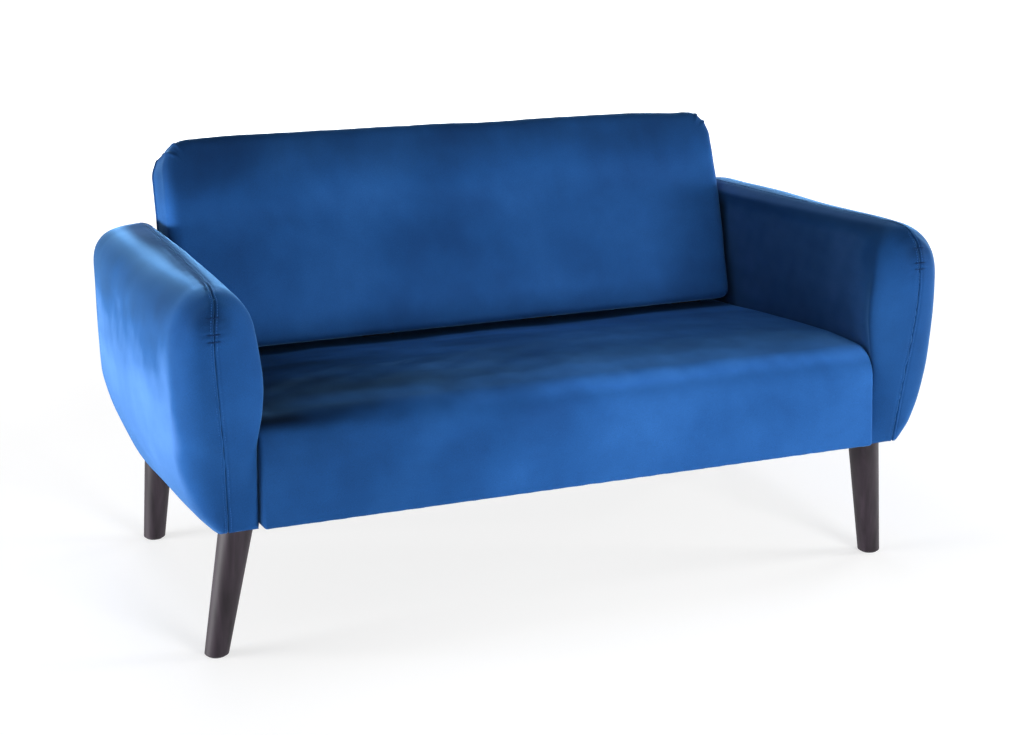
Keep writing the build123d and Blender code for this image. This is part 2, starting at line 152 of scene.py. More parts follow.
def box_lattice(na, nb, nc):
    """Every lattice point on the shell of a box, and its outward quads."""
    index = -np.ones((na, nb, nc), int)
    shell = np.zeros((na, nb, nc), bool)
    shell[[0, -1]] = True
    shell[:, [0, -1]] = True
    shell[:, :, [0, -1]] = True
    cells = np.argwhere(shell)
    index[tuple(cells.T)] = np.arange(len(cells))
    sides = ((index[0], True), (index[-1], False), (index[:, 0], False), (index[:, -1], True),
             (index[:, :, 0], True), (index[:, :, -1], False))
    return cells, np.concatenate([quads_of(side, flip) for side, flip in sides])


def steps(length, low, high, fine, coarse, extra=()):
    """Positions along one side of a block: fine over the rounding at each end, coarse between."""
    parts = [np.linspace(0, low, max(3, round(low / fine) + 1)),
             np.linspace(low, length - high, max(3, round((length - low - high) / coarse) + 1)),
             np.linspace(length - high, length, max(3, round(high / fine) + 1)),
             np.array(extra, float)]
    return np.unique(np.round(np.concatenate(parts), 3))


def round_slab(a, b, h, size, corners, edges, corner_shape=None):
    """Rounds a block. a and b run over its outline, h through it.

    corners gives the outline's radius at (low a, low b), (high a, low b), (high a, high b),
    (low a, high b); edges gives the radius of the edges at h = 0 and at full depth."""
    la, lb, depth = size
    d = np.minimum(np.minimum(a, la - a), np.minimum(b, lb - b))
    sides = np.stack([a, la - a, b, lb - b], -1)
    out = np.array([(-1, 0), (1, 0), (0, -1), (0, 1)], float)[np.argmin(sides, -1)]
    a2, b2 = a, b
    for n, (ca, cb) in enumerate(((0, 0), (1, 0), (1, 1), (0, 1))):
        r = corners[n]
        da = r - (la - a if ca else a)
        db = r - (lb - b if cb else b)
        near = (da > 0) & (db > 0)
        if not near.any():
            continue
        span = np.hypot(da, db)
        most = np.maximum(da, db)
        ua, ub = da / np.maximum(span, 1e-9), db / np.maximum(span, 1e-9)
        reach = most
        if corner_shape and cb:
            angle = np.degrees(np.arctan2(np.maximum(db, 0), np.maximum(da, 1e-9)))
            reach = most * (1 + (corner_shape(angle) - 1) * (most / r) ** 2)
        a2 = np.where(near, (la - r + ua * reach) if ca else (r - ua * reach), a2)
        b2 = np.where(near, (lb - r + ub * reach) if cb else (r - ub * reach), b2)
        d = np.where(near, r - most, d)
        out = np.where(near[:, None], np.stack([(2 * ca - 1) * ua, (2 * cb - 1) * ub], -1), out)
    h2, d2 = h, d
    for far, r in enumerate(edges):
        deep = depth - h if far else h
        near = (d < r) & (deep < r)
        span = np.maximum(np.hypot(r - d, r - deep), 1e-9)
        most = np.maximum(r - d, r - deep)
        nd = r - (r - d) / span * most
        nh = r - (r - deep) / span * most
        d2 = np.where(near, nd, d2)
        h2 = np.where(near, depth - nh if far else nh, h2)
    a2 = a2 - out[:, 0] * (d2 - d)
    b2 = b2 - out[:, 1] * (d2 - d)
    return a2, b2, h2, d


def vertex_normals(points, faces):
    face = np.cross(points[faces[:, 2]] - points[faces[:, 0]], points[faces[:, 3]] - points[faces[:, 1]])
    normal = np.zeros_like(points)
    for corner in range(4):
        np.add.at(normal, faces[:, corner], face)
    return normalised(normal)


# ---------------------------------------------------------------- cloth
CLOTH_FRAMES = 20
CLOTH = {"quality": 6, "mass": 0.25, "tension_stiffness": 12, "compression_stiffness": 12,
         "shear_stiffness": 4, "bending_stiffness": 0.6, "tension_damping": 8, "compression_damping": 8,
         "air_damping": 2, "use_pressure": True, "vertex_group_mass": "pins"}


def inflate(name, points, faces, pins, cap, pressure=4.0, shrink=-0.012):
    """Blows a coarse cover up with Blender's cloth and returns how far each point moves, in mm."""
    obj = make_mesh(name, place(points), faces)
    group = obj.vertex_groups.new(name="pins")
    for level in np.unique(np.round(pins, 2)):
        if level > 0:
            group.add(np.flatnonzero(np.round(pins, 2) == level).tolist(), float(level), "REPLACE")
    cloth = obj.modifiers.new("cloth", "CLOTH")
    for setting, value in CLOTH.items():
        setattr(cloth.settings, setting, value)
    cloth.settings.uniform_pressure_force = pressure
    cloth.settings.shrink_min = shrink
    cloth.settings.effector_weights.gravity = 0
    cloth.collision_settings.use_collision = False
    cloth.collision_settings.use_self_collision = False
    cloth.point_cache.frame_start, cloth.point_cache.frame_end = 1, CLOTH_FRAMES
    start = place(points)
    for number in range(1, CLOTH_FRAMES + 1):
        scene.frame_set(number)
    shown = obj.evaluated_get(bpy.context.evaluated_depsgraph_get())
    co = np.zeros(len(points) * 3, np.float32)
    shown.data.vertices.foreach_get("co", co)
    moved = (co.reshape(-1, 3) - start) * 1000
    back = np.stack([moved[:, 0],
                     moved[:, 1] * math.cos(RAKE) - moved[:, 2] * math.sin(RAKE),
                     moved[:, 1] * math.sin(RAKE) + moved[:, 2] * math.cos(RAKE)], -1)
    bpy.data.objects.remove(obj)
    scene.frame_set(1)
    length = np.linalg.norm(back, axis=1)
    print(f"{name}: cloth moved up to {length.max():.1f} mm, half of it over {np.median(length):.1f} mm")
    scale = min(1.0, cap / max(np.percentile(length, 99), 1e-6))
    limit = np.minimum(1.0, cap / np.maximum(length * scale, 1e-6))
    return back * (scale * limit)[:, None]


def carry(moves, coarse, fine, reach):
    """Spreads the coarse cover's movement smoothly over the fine one."""
    tree = point_tree(coarse)
    out = np.zeros_like(fine)
    for n, p in enumerate(fine):
        near = tree.find_n(p, 10)
        ids = [hit[1] for hit in near]
        weight = bell(np.array([hit[2] for hit in near]), reach) + 1e-9
        out[n] = weight @ moves[ids] / weight.sum()
    return out


# ---------------------------------------------------------------- materials
def fill_in(node, values):
    """Sets a node's own sockets by name."""
    for socket, value in values.items():
        node.inputs[socket].default_value = value
    return node


def add(tree, kind, values=None):
    """A new node with some of its own sockets set."""
    return fill_in(tree.nodes.new("ShaderNode" + kind), values or {})


def grey(level):
    return (level, level, level)


def new_material(name):
    material = bpy.data.materials.new(name)
    material.use_nodes = True
    tree = material.node_tree
    return material, tree, tree.nodes["Principled BSDF"], add(tree, "TexCoord").outputs["Object"]


def noise(tree, where, scale, detail=2.0, rough=0.5, distortion=0.0, stretch=None, turn=(0, 0, 0)):
    """A noise value over the object, optionally stretched along the axes."""
    if stretch:
        mapping = add(tree, "Mapping", {"Scale": stretch, "Rotation": turn})
        tree.links.new(where, mapping.inputs["Vector"])
        where = mapping.outputs["Vector"]
    texture = add(tree, "TexNoise", {"Scale": scale, "Detail": detail, "Roughness": rough,
                                     "Distortion": distortion})
    tree.links.new(where, texture.inputs["Vector"])
    return texture.outputs["Fac"]


def ramp(tree, value, stops):
    """A colour for every value. stops are (position, colour)."""
    node = add(tree, "ValToRGB")
    while len(node.color_ramp.elements) < len(stops):
        node.color_ramp.elements.new(0.5)
    for element, (position, colour) in zip(node.color_ramp.elements, stops):
        element.position = position
        element.color = (*colour, 1)
    tree.links.new(value, node.inputs["Fac"])
    return node.outputs["Color"]


def mix(tree, kind, amount, first, second):
    node = add(tree, "Mix")
    node.data_type = "RGBA"
    node.blend_type = kind
    node.inputs["Factor"].default_value = amount
    tree.links.new(first, node.inputs["A"])
    tree.links.new(second, node.inputs["B"])
    return node.outputs["Result"]


def roughen(tree, shader, value, low, high):
    """Roughness that runs from low to high with the value."""
    spread = add(tree, "MapRange", {"To Min": low, "To Max": high})
    tree.links.new(value, spread.inputs["Value"])
    tree.links.new(spread.outputs["Result"], shader.inputs["Roughness"])


def bumps(tree, shader, layers):
    """Chains bump layers of (height value, strength, distance in metres) into the shader."""
    normal = None
    for height, strength, distance in layers:
        node = add(tree, "Bump", {"Strength": strength, "Distance": distance})
        tree.links.new(height, node.inputs["Height"])
        if normal is not None:
            tree.links.new(normal, node.inputs["Normal"])
        normal = node.outputs["Normal"]
    tree.links.new(normal, shader.inputs["Normal"])


VELVET_TONES = [(0.30, (0.0050, 0.0270, 0.0960)), (0.50, (0.0075, 0.0420, 0.1420)),
                (0.72, (0.0120, 0.0590, 0.1880))]
SHEEN_TINT = (0.19, 0.50, 0.95, 1.0)


def velvet_material(name, sheen):
    """Cut-pile velvet. Its colour is multiplied by a value the mesh holds at each point: a little random tone
    of the pile, and mostly painted light and shade.
    """
    material, tree, shader, where = new_material(name)
    patches = noise(tree, where, 3.2, 3, 0.55, 0.5)
    streaks = noise(tree, where, 7.0, 3, 0.6, 0.3, (1.0, 0.28, 1.0), (0.0, 0.0, 0.35))
    pile = noise(tree, where, 900.0, 2, 0.7)
    base = ramp(tree, mix(tree, "MIX", 0.45, patches, streaks), VELVET_TONES)
    fleck = ramp(tree, pile, [(0.25, grey(0.72)), (0.75, grey(1.18))])
    # the mesh's value per point: painted light and shade over the cover, with a little random pile tone
    nap_and_painted_light_node = add(tree, "Attribute")
    nap_and_painted_light_node.attribute_name = "nap_and_painted_light"
    flecked = mix(tree, "MULTIPLY", 1.0, base, fleck)
    tree.links.new(mix(tree, "MULTIPLY", 1.0, flecked, nap_and_painted_light_node.outputs["Color"]), shader.inputs["Base Color"])
    roughen(tree, shader, streaks, 0.72, 0.92)
    fill_in(shader, {"Specular IOR Level": 0.02, "Sheen Weight": sheen, "Sheen Roughness": 0.34,
                     "Sheen Tint": SHEEN_TINT})
    nap_and_painted_light = noise(tree, where, 38.0, 3, 0.6, 0.8)
    weave = noise(tree, where, 260.0, 2, 0.6)
    swell = noise(tree, where, 2.6, 0, 0.5, 0.0)
    bumps(tree, shader, [(swell, 0.35, 0.012), (nap_and_painted_light, 0.05, 0.0008), (weave, 0.22, 0.0005),
                         (pile, 0.35, 0.0003)])
    return material


def plain_material(name, stops, scale, rough, metal=0.0, stretch=None, bump=0.2, depth=0.0004, fine=None,
                   spec=0.5):
    """A finish of one mottled colour with its own grain: wood, metal, plastic, felt or cloth."""
    material, tree, shader, where = new_material(name)
    grain = noise(tree, where, scale, 4, 0.62, 0.4, stretch)
    mottle = noise(tree, where, scale * 0.16, 2, 0.5)
    shade = ramp(tree, mottle, [(0.3, grey(0.86)), (0.7, grey(1.1))])
    tree.links.new(mix(tree, "MULTIPLY", 1.0, ramp(tree, grain, stops), shade), shader.inputs["Base Color"])
    roughen(tree, shader, grain, *rough)
    fill_in(shader, {"Metallic": metal, "Specular IOR Level": spec})
    layers = [(grain, bump, depth)]
    if fine:
        layers.append((noise(tree, where, fine, 2, 0.5, 0.0, stretch), bump, depth * 0.5))
    bumps(tree, shader, layers)
    return material


# Finish: its tones from dark to light, the scale of its grain, its range of roughness, what else it has.
PLAIN = {
    "thread": (((0.008, 0.045, 0.16), (0.018, 0.085, 0.27)), 900.0, (0.6, 0.8), {"spec": 0.1}),
    "tack_thread": (((0.001, 0.008, 0.035), (0.004, 0.022, 0.080)), 900.0, (0.7, 0.9), {"spec": 0.05}),
    "dark_wood": (((0.005, 0.003, 0.005), (0.012, 0.008, 0.012), (0.022, 0.015, 0.022)), 60.0, (0.42, 0.60),
                  {"stretch": (1.0, 1.0, 0.055), "bump": 0.35, "depth": 0.0003, "fine": 420.0, "spec": 0.2}),
    "black_cloth": (((0.010, 0.010, 0.011), (0.028, 0.028, 0.030)), 240.0, (0.8, 0.95),
                    {"bump": 0.5, "depth": 0.0005, "fine": 900.0}),
    "glide_plastic": (((0.012, 0.012, 0.013), (0.030, 0.030, 0.032)), 300.0, (0.4, 0.55), {"bump": 0.1}),
    "zinc_steel": (((0.42, 0.43, 0.45), (0.62, 0.63, 0.65)), 180.0, (0.28, 0.45), {"metal": 1.0, "bump": .1}),
    "spring_steel": (((0.10, 0.10, 0.11), (0.22, 0.22, 0.24)), 200.0, (0.3, 0.5), {"metal": 1.0, "bump": .1}),
    "softwood": (((0.42, 0.26, 0.12), (0.66, 0.47, 0.26)), 40.0, (0.55, 0.75),
                 {"stretch": (0.06, 1.0, 1.0), "fine": 300.0}),
    "plywood": (((0.36, 0.22, 0.11), (0.58, 0.40, 0.22)), 50.0, (0.5, 0.7),
                {"stretch": (0.1, 0.4, 1.0), "fine": 300.0}),
    "fibreboard": (((0.13, 0.075, 0.035), (0.22, 0.13, 0.065)), 500.0, (0.6, 0.8), {}),
    "foam": (((0.62, 0.56, 0.36), (0.78, 0.73, 0.52)), 700.0, (0.9, 1.0), {"bump": 0.6, "depth": 0.0008}),
    "felt": (((0.16, 0.16, 0.15), (0.36, 0.35, 0.33)), 400.0, (0.9, 1.0), {"bump": 0.6, "depth": 0.0008}),
}
TONES_AT = {2: (0.3, 0.7), 3: (0.30, 0.52, 0.75)}
FINISHES = {name: plain_material(name, list(zip(TONES_AT[len(tones)], tones)), scale, rough, **rest)
            for name, (tones, scale, rough, rest) in PLAIN.items()}
for name, sheen in (("velvet", 0.45), ("velvet_arm", 0.48), ("velvet_seat", 0.25)):
    FINISHES[name] = velvet_material(name, sheen)
for part in frame["record"]["subparts"]:
    node = frame["nodes"][part["node"]]
    node.data.materials.clear()
    node.data.materials.append(FINISHES[part["material_slot"]])
# the strips that hold the gap under the backrest get the black cloth as painted shade, so that the gap reads
# dark
frame["nodes"]["back_feet"].data.materials[0] = FINISHES["black_cloth"]


PAINTED_HIGHLIGHT_GREY = np.array([4.0, 1.0, 0.4])     # how much more red and green the painted light adds where it is above plain: a painted highlight's grey


def set_nap_and_painted_light(obj, value, highlight_grey=1.0):
    """Sets the value the velvet's colour is multiplied by at each point, 1 being the plain colour: a little
    random pile tone, mostly painted light and shade. Above 1 it also greys, as a painted highlight.
    """
    attribute = obj.data.attributes.new("nap_and_painted_light", "FLOAT_COLOR", "POINT")
    colour = np.ones((len(obj.data.vertices), 4), np.float32)
    value = np.asarray(value, float)[:, None]
    colour[:, :3] = value + np.maximum(value - 1, 0) * PAINTED_HIGHLIGHT_GREY * highlight_grey
    attribute.data.foreach_set("color", colour.ravel())


def settle(obj, replaced=()):
    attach(obj, "root")
    if replaced:
        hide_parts(*replaced)
    return obj


# ---------------------------------------------------------------- stitches
# One stitch, ring by ring: how far along it, and how thick it is there.
STITCH_RINGS = np.array([(-0.5, 0.0), (-0.42, 0.75), (-0.2, 1.0), (0.2, 1.0), (0.42, 0.75), (0.5, 0.0)])
STITCH_SIDES = 6


def sew(name, paths, pitch, length, width, finish="thread"):
    """Rows of short stitches. Each path is (points, outward directions) in the body frame."""
    turn = 2 * math.pi * np.arange(STITCH_SIDES) / STITCH_SIDES
    down_it, size = STITCH_RINGS.T[..., None]
    lift = (0.32 * width * np.sin(turn) * size + 0.12 * width * (1 - 4 * down_it ** 2))[..., None]
    wide = (0.5 * width * np.cos(turn) * size)[..., None]
    ahead = (length * down_it + 0 * turn)[..., None]
    stitches = []
    for path, outward in paths:
        run = run_of(path)
        at = np.arange(pitch / 2, run[-1], pitch)
        t = normalised(along(at + 0.4, run, path) - along(at - 0.4, run, path))
        b = normalised(np.cross(t, along(at, run, outward)))
        n = normalised(np.cross(b, t))
        c, t, n, b = (line[:, None, None] for line in (along(at, run, path), t, n, b))
        stitches.append((c + t * ahead + n * lift + b * wide).reshape(-1, 3))
    points = np.concatenate(stitches)
    each = lift.size
    ring, k = np.divmod(np.arange(each - STITCH_SIDES), STITCH_SIDES)
    one, two = ring * STITCH_SIDES + k, ring * STITCH_SIDES + (k + 1) % STITCH_SIDES
    quads = np.stack([one, two, two + STITCH_SIDES, one + STITCH_SIDES], -1)
    faces = (np.arange(0, len(points), each)[:, None, None] + quads).reshape(-1, 4)
    obj = make_mesh(name, place(points), faces, FINISHES[finish])
    return settle(obj)


# ---------------------------------------------------------------- arms
# Side outline of a right arm (v, w), from the front bottom corner up the nose, back along the top and down.
ARM_OUTLINE = np.array([
    (24, -3), (17, 16), (10, 50), (-3, 110), (-19, 190), (-28, 250), (-31, 300), (-30, 340), (-24, 360),
    (-13, 372), (2, 380), (22, 384), (60, 386), (200, 388), (400, 392), (600, 396), (676, 396), (696, 393),
    (706, 386), (712, 368), (713, 330), (713, 200), (713, 60), (712, 14),
    (709, 2), (702, -1), (690, -2), (600, -2), (400, -2), (150, -3), (60, -4), (42, -5), (30, -5),
], float)
ARM_CORNERS = (0, 9, 18, 24)
ARM_BARREL_V, ARM_BARREL_FRONT, ARM_BARREL_REAR = 315.0, 3.0, 18.0
ARM_REAR_V = 713.0
HANDS = {1: "right", -1: "left"}
SPINE_V, SPINE_W = (150.0, 560.0), 190.0
DENSE = 60                      # samples between two outline points
# By height: x of the seam up the nose, reach of the outer face, radius of the nose's outer side,
# how far the nose swells inwards in front of the seat, radius of the nose's inner side.
ARM_ROWS = np.array([
    (-5, 600, 618, 44, 5, 6),
    (18, 600, 640, 50, 5, 8),
    (50, 602, 656, 56, 5, 12),
    (110, 605, 670, 60, 8, 20),
    (190, 611, 675, 63, 16, 28),
    (250, 615, 676, 64, 15, 32),
    (300, 617, 676, 64, 8, 32),
    (325, 616.5, 676, 64, 4, 32),
    (345, 616, 675, 62, 1, 32),
    (360, 614, 674, 60, 0, 32),
    (372, 612, 673, 58, 0, 32),
    (387, 609, 672, 56, 0, 32),
], float)
ARM_INNER = 550.0
# Along the arm: how far down the rounding from the top into the inner and into the outer face goes.
INNER_ROUND = ((0, 52), (60, 50), (200, 34), (390, 20), (700, 17))
OUTER_ROUND = ((0, 84), (200, 82), (700, 76))


def read(table, at):
    """A table of (place, value) read with straight lines between its places."""
    return np.interp(at, *np.array(table, float).T)


def hermite(xs, ys):
    """A smooth function through the points."""
    slope = np.gradient(ys, xs)
    fine = np.linspace(xs[0], xs[-1], 2000)
    k = np.clip(np.searchsorted(xs, fine, side="right") - 1, 0, len(xs) - 2)
    span = xs[k + 1] - xs[k]
    t = (fine - xs[k]) / span
    line = cubic(t, ys[k], ys[k + 1], span * slope[k], span * slope[k + 1])
    return lambda x: np.interp(x, fine, line)


arm_row = [hermite(ARM_ROWS[:, 0], ARM_ROWS[:, k]) for k in range(1, 6)]


def closed_spline(points):
    """Smooth closed curve through the points, DENSE samples for each."""
    ring = np.concatenate([points[-2:], points, points[:3]])
    run = run_of(ring)
    slope = np.gradient(ring, run, axis=0)
    out = []
    for k in range(2, len(points) + 2):
        span = run[k + 1] - run[k]
        t = (np.arange(DENSE) / DENSE)[:, None]
        out.append(cubic(t, ring[k], ring[k + 1], span * slope[k], span * slope[k + 1]))
    return np.concatenate(out)


arm_edge = closed_spline(ARM_OUTLINE)


def edge_between(first, last):
    """The outline from one corner to the next, as a function of the share of its length."""
    total = len(arm_edge)
    start, stop = first * DENSE, (last * DENSE if last > first else total + last * DENSE)
    part = arm_edge[np.arange(start, stop + 1) % total]
    run = run_of(part)
    return lambda share: along(share * run[-1], run, part)


arm_front = edge_between(ARM_CORNERS[0], ARM_CORNERS[1])
arm_top = edge_between(ARM_CORNERS[1], ARM_CORNERS[2])
rear_down = edge_between(ARM_CORNERS[2], ARM_CORNERS[3])
bottom_forward = edge_between(ARM_CORNERS[3], ARM_CORNERS[0])
front_line = arm_edge[:11 * DENSE]
rear_line_down = arm_edge[16 * DENSE:24 * DENSE][::-1]
top_line = arm_edge[9 * DENSE:18 * DENSE]
TOP_W = 387.0


def arm_surface(v, w, outer):
    """x of a right arm's outer or inner cover at points of its side view."""
    top = np.interp(v, top_line[:, 0], top_line[:, 1])
    level = np.where(w > SPINE_W, SPINE_W + (w - SPINE_W) * (TOP_W - SPINE_W) / (top - SPINE_W), w)
    level = np.clip(level, ARM_ROWS[0, 0], TOP_W)
    seam, reach, outer_r, swell, inner_r = (row(level) for row in arm_row)
    share = level / TOP_W
    seam = seam + (600 - 34 * share ** 2 - seam) * unit(v / ARM_REAR_V) ** (2 - 1.25 * share)
    ahead = np.maximum(v - np.interp(w, front_line[:, 1], front_line[:, 0]), 0)
    behind = np.maximum(np.interp(w, rear_line_down[:, 1], rear_line_down[:, 0]) - v, 0)
    under = np.maximum(top - w, 0)

    def eased(distance, radius, power=2.0):
        return (1 - unit(1 - distance / radius) ** power) ** (1 / power)

    if outer:
        ahead_of = v < ARM_BARREL_V
        half = np.where(ahead_of, ARM_BARREL_V + 30, ARM_REAR_V - ARM_BARREL_V)
        low = unit((130 - level) / 100)
        barrel = np.where(ahead_of, ARM_BARREL_FRONT, ARM_BARREL_REAR + 9 * low)
        barrel = barrel * ((v - ARM_BARREL_V) / half) ** 2
        rise = np.maximum(reach - seam, 0)
        rise = rise - barrel * unit(rise / 40)
        rise = rise * eased(under, read(OUTER_ROUND, v), 2.05 + 1.05 * unit(v / 600))
        return seam + rise * eased(ahead, outer_r, 2.4) * eased(behind, 28.0)
    beside = np.interp(level, (0, 60, 130, 220), (26, 18, 16, 34))
    inner = ARM_INNER - swell * bell(np.maximum(v, -14) + 14, beside)
    rise = np.maximum(seam - inner, 0) * eased(under, read(INNER_ROUND, v))
    return seam - rise * eased(ahead, inner_r) * eased(behind, 15.0)


def on_arm(vw, outer):
    """Points on a right arm's cover, from their places in the side view."""
    return np.concatenate([arm_surface(vw[..., 0], vw[..., 1], outer)[..., None], vw], -1)


def arm_grid(s, t):
    """Side-view points of a Coons patch over the arm's outline; s and t both run from 0 to 1."""
    bottom, top = bottom_forward(1 - s)[:, None], arm_top(s)[:, None]
    front, rear = arm_front(t)[None], rear_down(1 - t)[None]
    s2, t2 = s[:, None, None], t[None, :, None]
    corners = ((1 - s2) * (1 - t2) * bottom[0, 0] + s2 * (1 - t2) * bottom[-1, 0]
               + (1 - s2) * t2 * top[0, 0] + s2 * t2 * top[-1, 0])
    return (1 - t2) * bottom + t2 * top + (1 - s2) * front + s2 * rear - corners


def rounding_rows(radius, power, rise, arcs):
    """Depths from the edge where the rounded profile has run the given lengths."""
    depth = radius * (np.linspace(0, 1, 4000) ** 2)
    x = rise * (1 - unit(1 - depth / radius) ** power) ** (1 / power)
    run = run_of(np.column_stack([depth, x]))
    arcs = np.array([a for a in arcs if a < run[-1]])
    return np.interp(arcs, run, depth)


ARCS = [0, 1, 2, 3, 4, 5, 6.2, 7.6, 9.5, 12, 15, 18.5, 22.5, 27, 32, 37, 42, *range(48, 151, 6)]
front_rows = rounding_rows(74, 2.0, 60, ARCS)
rear_rows = rounding_rows(28, 2.0, 55, ARCS)
top_rows = rounding_rows(72, 2.0, 80, ARCS)
bottom_rows = rounding_rows(120, 1.8, 62, [0, 2, 4, 7, 11, 16, 22, 28, 34, 41, 48, 55, 62, 69, 76, 84])


def shares(low, high, length, step, dense=None):
    middle = np.arange(low[-1] + step, length - high[-1] - step * 0.5, step)
    places = np.concatenate([low, middle, length - high[::-1]])
    if dense:
        extra = np.arange(dense[0], dense[1], dense[2])
        places = np.concatenate([places[(places < dense[0] - 1) | (places > dense[1] - 1)], extra])
        places = np.sort(places)
    return np.unique(np.round(places, 3)) / length


ARM_LENGTH, ARM_HEIGHT = 744.0, 390.0
fine_s = shares(front_rows, rear_rows, ARM_LENGTH, 6.5)
fine_t = shares(bottom_rows, top_rows, ARM_HEIGHT, 6.5, (300.0, 356.0, 2.2))
coarse_s = np.linspace(0, 1, 52)
coarse_t = np.linspace(0, 1, 28)
TACKS = (347.0, 322.0, 311.0)           # heights of the hand stitches across the nose seam
TACK_PROUD = 0.7                        # how far the hand stitches stand off the outline
TACK_HALF = 12.0                        # half the length of the path that each one follows
ROW_OFFSET = 4.6                        # topstitching, either side of the seam
HEM_DEPTH, HEM_GAP = 7.0, 0.8           # the allowance turned in at a seam, and its way clear of the other
ARM_SEEDS = {1: (11, 31), -1: (23, 47)}  # outer and inner cover of the right and of the left arm
sewn = arm_edge[:ARM_CORNERS[3] * DENSE:4]
seam_tree = point_tree(on_arm(sewn, True))


def resample(values, old, new):
    """Smooth resampling of the first axis from the places old to the places new."""
    slope = np.gradient(values, old, axis=0)
    k = np.clip(np.searchsorted(old, new, side="right") - 1, 0, len(old) - 2)
    span = (old[k + 1] - old[k]).reshape((-1,) + (1,) * (values.ndim - 1))
    t = (new - old[k]).reshape(span.shape) / span
    return cubic(t, values[k], values[k + 1], span * slope[k], span * slope[k + 1])


def blurred(values, times):
    """Evens out a grid of movements, its border kept as it is."""
    for _ in range(times):
        inside = (values[:-2, 1:-1] + values[2:, 1:-1] + values[1:-1, :-2] + values[1:-1, 2:]) / 8
        values = values.copy()
        values[1:-1, 1:-1] = values[1:-1, 1:-1] / 2 + inside
    return values


def arm_points(vw, outer):
    """Points on one cover of a right arm, and how far each is from the sewn seam."""
    p = on_arm(vw, outer)
    off = np.array([seam_tree.find(q)[2] for q in p.reshape(-1, 3)]).reshape(p.shape[:-1])
    return p, off


def arm_nap_and_painted_light(p, n, outer, seed):
    x, v, w = np.abs(p[:, 0]), p[:, 1], p[:, 2]
    drift = soft_noise(p, 150.0, seed + 70)
    fine = soft_noise(p, 45.0, seed + 71, 2)
    seam = arm_row[0](np.clip(w, ARM_ROWS[0, 0], TOP_W))
    # painted shade round the hand stitches at the top of the nose
    tack_painted_shade = bell(w - 348, 25) * bell(x - seam, 30) * (1 - ease(v, -8, 25))
    value = 0.86 + 0.05 * drift + 0.03 * fine - 0.46 * tack_painted_shade
    if outer:
        # outer face: painted light over its middle where the low lamp from the side falls, painted shade on
        # its upper rounding, painted light on its flat top
        wide = ease(v + 8 * drift, 6, 56) * (1 - ease(w + 45 * drift, 150, 400))
        wide = wide * (0.62 + 0.38 * ease(w, 20, 200))
        value += 0.70 * wide - 0.34 * ease(w + 40 * drift, 210, 370) * ease(v, 10, 80)
        value += 1.10 * ease(n[:, 2], 0.88, 0.99) * ease(v, 10, 60)
    else:
        # inner face: painted light behind the nose and along the top, painted shade alongside the backrest
        # where it stands in the gap
        value += 0.30 * ease(v, 0, 60) * (1 - ease(w, 350, 380)) + 0.7 * ease(w, 376, 386)
        value *= 1 - 0.8 * ease(v, 535, 560) * (1 - ease(w, 350, 385))
    return value


